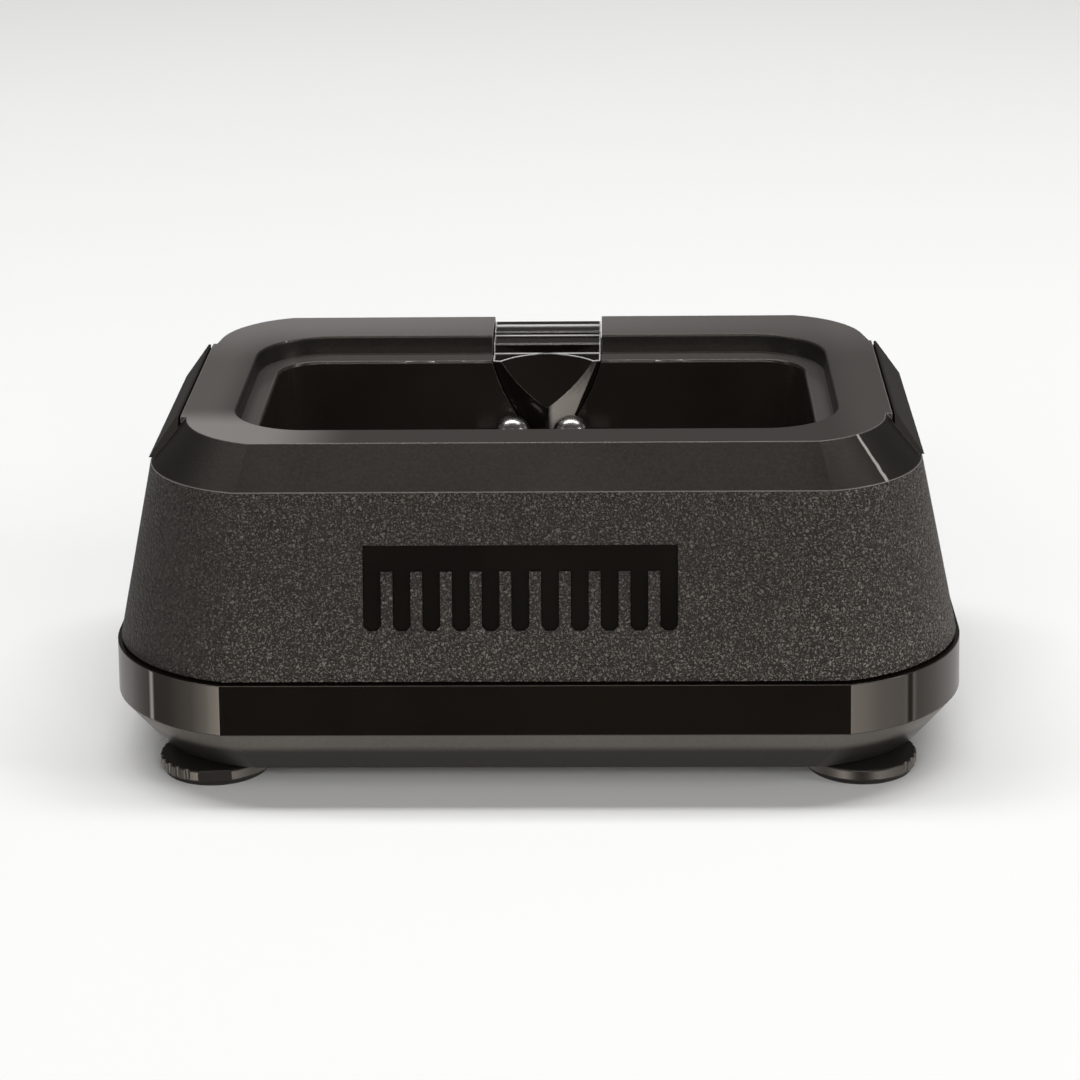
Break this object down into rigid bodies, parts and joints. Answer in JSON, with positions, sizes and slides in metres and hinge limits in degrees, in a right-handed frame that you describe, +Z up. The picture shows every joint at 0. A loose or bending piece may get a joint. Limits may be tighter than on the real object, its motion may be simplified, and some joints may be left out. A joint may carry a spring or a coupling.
{
  "type": "hair clipper charging stand",
  "caption": "Weighted table-top charging stand for a cordless hair clipper: open well, rear guide, sprung contacts, knurled levelling feet.",
  "frame": {"origin": "on the table surface, under the middle of the stand", "axes": "+X to the right along the long side, +Y to the back where the power inlet is, +Z up"},
  "size_m": [0.108, 0.0788, 0.0433],
  "materials": {
    "grained_black": "leather-like moulded grain, soft sheen",
    "satin_black": "satin, fine texture",
    "gloss_black": "high gloss",
    "gloss_inlay": "high gloss",
    "belly_black": "satin",
    "matte_panel": "matte",
    "contact_chrome": "polished",
    "spring_steel": "bright drawn wire",
    "brass": "turned",
    "carrier_black": "satin",
    "board_green": "solder mask",
    "component_black": "moulded epoxy",
    "component_can": "drawn can",
    "inlet_black": "satin",
    "ballast_steel": "zinc plated",
    "screw_steel": "zinc plated",
    "wheel_black": "satin, knurled",
    "sole_rubber": "matte"
  },
  "bodies": {
    "housing": {"ballast_plate": "ballast_steel", "ballast_screw_back": "screw_steel", "ballast_screw_front": "screw_steel", "base_trim": "gloss_black", "board_capacitor": "component_can", "board_chip": "component_black", "board_choke": "component_black", "board_screw_back_left": "screw_steel", "board_screw_back_right": "screw_steel", "board_screw_front_left": "screw_steel", "board_screw_front_right": "screw_steel", "bottom_cover": "belly_black", "charge_board": "board_green", "contact_carrier": "carrier_black", "contact_spring_left": "spring_steel", "contact_spring_right": "spring_steel", "contact_terminal_left": "brass", "contact_terminal_right": "brass", "cradle_well": "gloss_black", "flange_screw_back_left": "screw_steel", "flange_screw_back_right": "screw_steel", "flange_screw_front_left": "screw_steel", "flange_screw_front_right": "screw_steel", "foot_insert_back_left": "brass", "foot_insert_back_right": "brass", "foot_insert_front_left": "brass", "foot_insert_front_right": "brass", "front_badge": "gloss_inlay", "power_inlet": "inlet_black", "rear_guide": "gloss_black", "side_panel_left": "matte_panel", "side_panel_right": "matte_panel", "textured_skirt": "grained_black", "tie_screw_back_left": "screw_steel", "tie_screw_back_right": "screw_steel", "tie_screw_front_left": "screw_steel", "tie_screw_front_right": "screw_steel", "top_bezel": "satin_black"},
    "contact_pin_left": {"contact_pin_left": "contact_chrome"},
    "contact_pin_right": {"contact_pin_right": "contact_chrome"},
    "foot_rest_back_left": {"foot_sole_back_left": "sole_rubber"},
    "foot_rest_back_right": {"foot_sole_back_right": "sole_rubber"},
    "foot_rest_front_left": {"foot_sole_front_left": "sole_rubber"},
    "foot_rest_front_right": {"foot_sole_front_right": "sole_rubber"},
    "foot_screw_back_left": {"foot_stud_back_left": "screw_steel", "foot_wheel_back_left": "wheel_black"},
    "foot_screw_back_right": {"foot_stud_back_right": "screw_steel", "foot_wheel_back_right": "wheel_black"},
    "foot_screw_front_left": {"foot_stud_front_left": "screw_steel", "foot_wheel_front_left": "wheel_black"},
    "foot_screw_front_right": {"foot_stud_front_right": "screw_steel", "foot_wheel_front_right": "wheel_black"}
  },
  "joints": [
    {"name": "contact_press_left", "type": "slide", "parent": "housing", "child": "contact_pin_left", "axis": [0, 0, -1], "range_m": [0, 0.0015], "stiffness_N_per_m": 250, "springref_m": -0.0006, "deforming": ["contact_spring_left"]},
    {"name": "contact_press_right", "type": "slide", "parent": "housing", "child": "contact_pin_right", "axis": [0, 0, -1], "range_m": [0, 0.0015], "stiffness_N_per_m": 250, "springref_m": -0.0006, "deforming": ["contact_spring_right"]},
    {"name": "foot_lift_front_left", "type": "slide", "parent": "housing", "child": "foot_rest_front_left", "axis": [0, 0, -1], "range_m": [0, 0.002]},
    {"name": "foot_turn_front_left", "type": "hinge", "parent": "foot_rest_front_left", "child": "foot_screw_front_left", "pos_m": [-0.0409, -0.0281, 0.001], "axis": [0, 0, -1], "range_deg": [0, 720]},
    {"name": "foot_lift_front_right", "type": "slide", "parent": "housing", "child": "foot_rest_front_right", "axis": [0, 0, -1], "range_m": [0, 0.002]},
    {"name": "foot_turn_front_right", "type": "hinge", "parent": "foot_rest_front_right", "child": "foot_screw_front_right", "pos_m": [0.0409, -0.0281, 0.001], "axis": [0, 0, -1], "range_deg": [0, 720]},
    {"name": "foot_lift_back_left", "type": "slide", "parent": "housing", "child": "foot_rest_back_left", "axis": [0, 0, -1], "range_m": [0, 0.002]},
    {"name": "foot_turn_back_left", "type": "hinge", "parent": "foot_rest_back_left", "child": "foot_screw_back_left", "pos_m": [-0.0409, 0.0281, 0.001], "axis": [0, 0, -1], "range_deg": [0, 720]},
    {"name": "foot_lift_back_right", "type": "slide", "parent": "housing", "child": "foot_rest_back_right", "axis": [0, 0, -1], "range_m": [0, 0.002]},
    {"name": "foot_turn_back_right", "type": "hinge", "parent": "foot_rest_back_right", "child": "foot_screw_back_right", "pos_m": [0.0409, 0.0281, 0.001], "axis": [0, 0, -1], "range_deg": [0, 720]}
  ],
  "couplings": [
    {"joint": "foot_turn_front_left", "follows": "foot_lift_front_left", "rad_per_m": 6283.2},
    {"joint": "foot_turn_front_right", "follows": "foot_lift_front_right", "rad_per_m": 6283.2},
    {"joint": "foot_turn_back_left", "follows": "foot_lift_back_left", "rad_per_m": 6283.2},
    {"joint": "foot_turn_back_right", "follows": "foot_lift_back_right", "rad_per_m": 6283.2}
  ]
}
